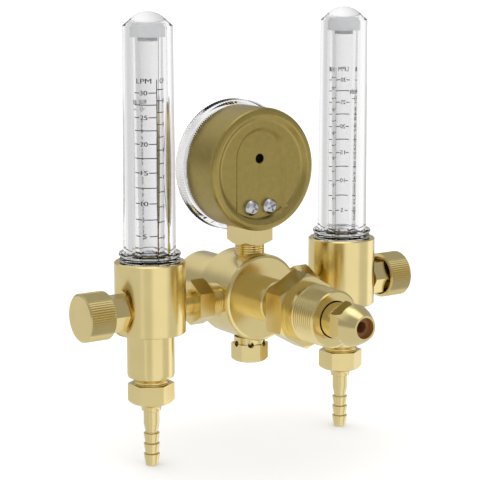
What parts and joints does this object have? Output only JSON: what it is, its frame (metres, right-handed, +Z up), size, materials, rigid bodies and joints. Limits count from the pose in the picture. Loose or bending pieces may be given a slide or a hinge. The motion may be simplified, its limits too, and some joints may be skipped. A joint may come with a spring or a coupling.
{
  "type": "dual flowmeter gas regulator",
  "caption": "Brass shielding-gas regulator with a bullet-nosed cylinder inlet, contents gauge, relief valve and twin clear flowmeters with needle valves and hose barbs.",
  "frame": {"origin": "on the inlet axis where the inlet nut thread begins, at the nut collar", "axes": "+Z up along the flowmeters, -Y out of the cylinder inlet, +X towards the right flowmeter when seen from the inlet"},
  "size_m": [0.172, 0.1288, 0.195],
  "materials": {
    "brass_satin": "satin turned brass",
    "brass_bright": "bright brass",
    "tube_bronze": "drawn bronze",
    "sintered_bronze": "matte porous",
    "steel": "zinc plated",
    "spring_steel": "drawn wire",
    "ball_steel": "polished",
    "case_paint": "satin gold lacquer",
    "clear_plastic": "clear polycarbonate",
    "dial_white": "matte white",
    "pointer_black": "matte black",
    "white_plastic": "matte",
    "black_rubber": "moulded rubber"
  },
  "bodies": {
    "regulator": {"regulator_body": "brass_satin", "bonnet": "brass_satin", "adjusting_screw": "steel", "lock_nut": "steel", "spring_button": "steel", "range_spring": "spring_steel", "slip_ring": "brass_bright", "diaphragm": "black_rubber", "diaphragm_plate": "brass_bright", "seat_nozzle": "brass_bright", "inlet_nipple": "brass_satin", "inlet_filter": "sintered_bronze", "relief_body": "brass_satin", "relief_cap": "brass_satin", "relief_spring": "spring_steel", "gauge_case": "case_paint", "gauge_lens": "clear_plastic", "gauge_dial": "dial_white", "bourdon_tube": "tube_bronze", "movement_frame": "brass_bright", "gauge_socket": "brass_satin", "case_screws": "steel", "left_flow_body": "brass_satin", "left_cover_tube": "clear_plastic", "left_metering_tube": "clear_plastic", "left_tube_oring": "black_rubber", "left_tube_gasket": "black_rubber", "left_tube_cap": "white_plastic", "left_ball_seat": "brass_bright", "left_valve_gland": "brass_satin", "left_stem_oring": "black_rubber", "left_outlet_nut": "brass_satin", "left_hose_barb": "brass_satin", "left_connector": "brass_satin", "right_flow_body": "brass_satin", "right_cover_tube": "clear_plastic", "right_metering_tube": "clear_plastic", "right_tube_oring": "black_rubber", "right_tube_gasket": "black_rubber", "right_tube_cap": "white_plastic", "right_ball_seat": "brass_bright", "right_valve_gland": "brass_satin", "right_stem_oring": "black_rubber", "right_outlet_nut": "brass_satin", "right_hose_barb": "brass_satin", "right_connector": "brass_satin"},
    "inlet_nut": {"inlet_nut": "brass_satin"},
    "valve_train": {"valve_poppet": "brass_bright", "poppet_spring": "spring_steel"},
    "relief_poppet": {"relief_poppet": "brass_bright"},
    "pointer": {"gauge_pointer": "pointer_black", "pointer_shaft": "brass_bright"},
    "sector": {"sector_gear": "brass_bright"},
    "link": {"gauge_link": "brass_bright"},
    "left_stem": {"left_valve_stem": "brass_bright"},
    "left_knob": {"left_valve_knob": "brass_satin"},
    "left_float": {"left_float_ball": "ball_steel"},
    "right_stem": {"right_valve_stem": "brass_bright"},
    "right_knob": {"right_valve_knob": "brass_satin"},
    "right_float": {"right_float_ball": "ball_steel"}
  },
  "joints": [
    {"name": "inlet_nut_spin", "type": "hinge", "parent": "regulator", "child": "inlet_nut", "pos_m": [0, 0, 0], "axis": [0, -1, 0], "continuous": true},
    {"name": "valve_open", "type": "slide", "parent": "regulator", "child": "valve_train", "axis": [0, -1, 0], "range_m": [0, 0.0005], "stiffness_N_per_m": 2000},
    {"name": "relief_lift", "type": "slide", "parent": "regulator", "child": "relief_poppet", "axis": [0, 0, -1], "range_m": [0, 0.0012], "stiffness_N_per_m": 800, "springref_m": -0.001, "deforming": ["relief_spring"]},
    {"name": "pointer_turn", "type": "hinge", "parent": "regulator", "child": "pointer", "pos_m": [0, 0.049, 0.0568], "axis": [0, -1, 0], "range_deg": [0, 270]},
    {"name": "sector_swing", "type": "hinge", "parent": "regulator", "child": "sector", "pos_m": [0, 0.049, 0.0406], "axis": [0, -1, 0], "range_deg": [-54, 0]},
    {"name": "link_swing", "type": "hinge", "parent": "sector", "child": "link", "pos_m": [-0.00564, 0.049, 0.03855], "axis": [0, -1, 0], "range_deg": [0, 54]},
    {"name": "left_stem_slide", "type": "slide", "parent": "regulator", "child": "left_stem", "axis": [-1, 0, 0], "range_m": [0, 0.0012]},
    {"name": "left_knob_turn", "type": "hinge", "parent": "left_stem", "child": "left_knob", "pos_m": [-0.0817, 0.049, 0], "axis": [-1, 0, 0], "range_deg": [0, 540]},
    {"name": "left_float_rise", "type": "slide", "parent": "regulator", "child": "left_float", "axis": [0, 0, 1], "range_m": [0, 0.08]},
    {"name": "right_stem_slide", "type": "slide", "parent": "regulator", "child": "right_stem", "axis": [1, 0, 0], "range_m": [0, 0.0012]},
    {"name": "right_knob_turn", "type": "hinge", "parent": "right_stem", "child": "right_knob", "pos_m": [0.0817, 0.049, 0], "axis": [1, 0, 0], "range_deg": [0, 540]},
    {"name": "right_float_rise", "type": "slide", "parent": "regulator", "child": "right_float", "axis": [0, 0, 1], "range_m": [0, 0.08]}
  ],
  "couplings": [
    {"joint": "sector_swing", "follows": "pointer_turn", "ratio": -0.2},
    {"joint": "link_swing", "follows": "pointer_turn", "ratio": 0.2},
    {"joint": "left_knob_turn", "follows": "left_stem_slide", "rad_per_m": 7854},
    {"joint": "right_knob_turn", "follows": "right_stem_slide", "rad_per_m": 7854}
  ]
}
